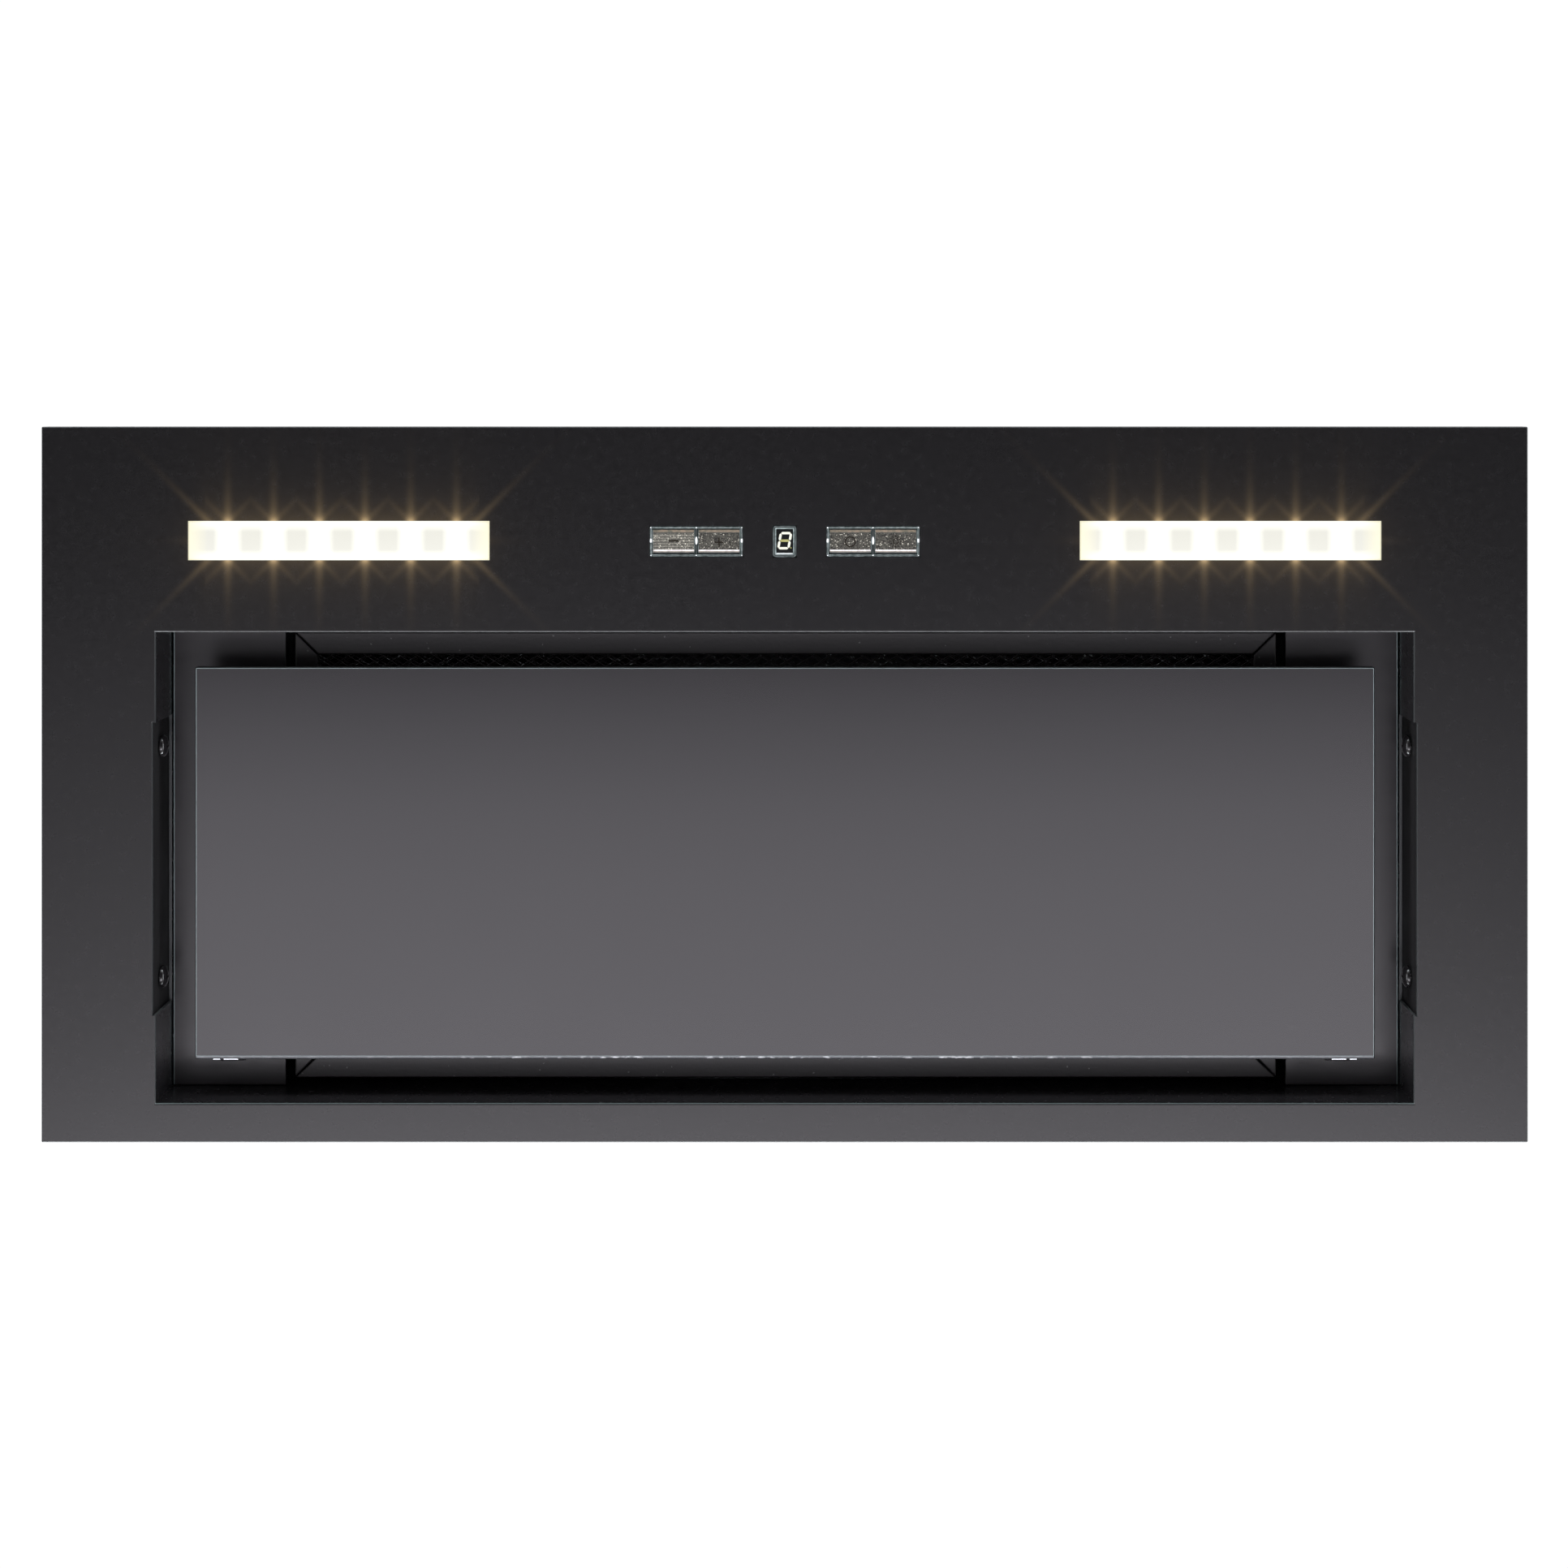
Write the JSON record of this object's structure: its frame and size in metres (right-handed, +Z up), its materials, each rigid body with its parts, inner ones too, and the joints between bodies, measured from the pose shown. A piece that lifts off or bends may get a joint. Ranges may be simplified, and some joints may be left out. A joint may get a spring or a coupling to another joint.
{
  "type": "under cabinet range hood",
  "caption": "Built-in under-cabinet range hood: black flanged face panel, hinged glass suction panel, bar lamps, push buttons, grease filter and centrifugal blower.",
  "frame": {"origin": "centre of the face panel's underside, at its lowest plane", "axes": "+Z up into the cabinet, -Y towards the user, +X along the panel's length"},
  "size_m": [0.54, 0.26, 0.251],
  "materials": {
    "black_powder_coat": "fine textured black powder coat",
    "black_sheet": "satin black paint",
    "galvanised": "galvanised sheet",
    "dark_glass": "polished, back-painted dark grey, opaque",
    "filter_mesh": "dark coated expanded mesh layers",
    "chrome": "bright plated",
    "screw_zinc": "zinc plated",
    "screw_black": "glossy black passivated",
    "magnet": "sintered ferrite",
    "lamp_lens": "frosted translucent",
    "white_plastic": "moulded",
    "button_plastic": "clear cap over a silver-grey speckled film",
    "clear_plastic": "polished clear",
    "display_black": "gloss black",
    "black_plastic": "moulded",
    "circuit_board": "solder mask",
    "grey_plastic": "moulded",
    "motor_steel": "rolled steel",
    "cable_grey": "flexible sheath"
  },
  "bodies": {
    "hood": {"button_bezel_left": "clear_plastic", "button_bezel_right": "clear_plastic", "cable_gland": "black_plastic", "clamp_screw_left_front": "screw_black", "clamp_screw_left_rear": "screw_black", "clamp_screw_right_front": "screw_black", "clamp_screw_right_rear": "screw_black", "collar_ring": "galvanised", "control_board": "circuit_board", "control_cover": "grey_plastic", "control_lead": "cable_grey", "cover_screw_front_left": "screw_zinc", "cover_screw_front_right": "screw_zinc", "cover_screw_rear_left": "screw_zinc", "cover_screw_rear_right": "screw_zinc", "display_bezel": "display_black", "display_module": "display_black", "electronics_box": "grey_plastic", "electronics_cover": "grey_plastic", "face_panel": "black_powder_coat", "filter_frame": "black_sheet", "filter_mesh": "filter_mesh", "flap_pin": "screw_zinc", "hinge_bracket_left": "black_sheet", "hinge_bracket_right": "black_sheet", "hinge_pin_left": "chrome", "hinge_pin_right": "chrome", "hood_body": "galvanised", "lamp_board_left": "circuit_board", "lamp_board_right": "circuit_board", "lamp_housing_left": "white_plastic", "lamp_housing_right": "white_plastic", "lamp_lens_left": "lamp_lens", "lamp_lens_right": "lamp_lens", "motor_body": "motor_steel", "motor_bracket": "motor_steel", "motor_capacitor": "white_plastic", "motor_lead": "cable_grey", "outlet_collar": "galvanised", "panel_magnet_left": "magnet", "panel_magnet_right": "magnet", "power_board": "circuit_board", "scroll_left": "grey_plastic", "scroll_right": "grey_plastic", "side_clamp_left": "black_sheet", "side_clamp_right": "black_sheet", "side_plate_left": "black_sheet", "side_plate_right": "black_sheet", "top_cover": "galvanised"},
    "suction_panel": {"glass_panel": "dark_glass", "panel_tray": "black_sheet"},
    "latch": {"filter_latch": "black_plastic"},
    "rotor": {"impeller": "black_plastic", "motor_shaft": "screw_zinc"},
    "left_flap": {"flap_left": "galvanised"},
    "right_flap": {"flap_right": "galvanised"},
    "minus_button": {"button_minus": "button_plastic"},
    "plus_button": {"button_plus": "button_plastic"},
    "power_button": {"button_power": "button_plastic"},
    "light_button": {"button_light": "button_plastic"}
  },
  "joints": [
    {"name": "panel_hinge", "type": "hinge", "parent": "hood", "child": "suction_panel", "pos_m": [0, 0.1005, 0.0163], "axis": [1, 0, 0], "range_deg": [0, 90]},
    {"name": "latch_slide", "type": "slide", "parent": "hood", "child": "latch", "axis": [1, 0, 0], "range_m": [-0.005, 0], "stiffness_N_per_m": 250, "springref_m": 0.003},
    {"name": "impeller_spin", "type": "hinge", "parent": "hood", "child": "rotor", "pos_m": [0, 0.03, 0.124], "axis": [-1, 0, 0], "continuous": true},
    {"name": "left_flap_hinge", "type": "hinge", "parent": "hood", "child": "left_flap", "pos_m": [0, -0.0165, 0.208], "axis": [0, 1, 0], "range_deg": [0, 75]},
    {"name": "right_flap_hinge", "type": "hinge", "parent": "hood", "child": "right_flap", "pos_m": [0, -0.0165, 0.208], "axis": [0, -1, 0], "range_deg": [0, 75]},
    {"name": "minus_press", "type": "slide", "parent": "hood", "child": "minus_button", "axis": [0, 0, 1], "range_m": [0, 0.001], "stiffness_N_per_m": 800, "springref_m": -0.0005},
    {"name": "plus_press", "type": "slide", "parent": "hood", "child": "plus_button", "axis": [0, 0, 1], "range_m": [0, 0.001], "stiffness_N_per_m": 800, "springref_m": -0.0005},
    {"name": "power_press", "type": "slide", "parent": "hood", "child": "power_button", "axis": [0, 0, 1], "range_m": [0, 0.001], "stiffness_N_per_m": 800, "springref_m": -0.0005},
    {"name": "light_press", "type": "slide", "parent": "hood", "child": "light_button", "axis": [0, 0, 1], "range_m": [0, 0.001], "stiffness_N_per_m": 800, "springref_m": -0.0005}
  ]
}
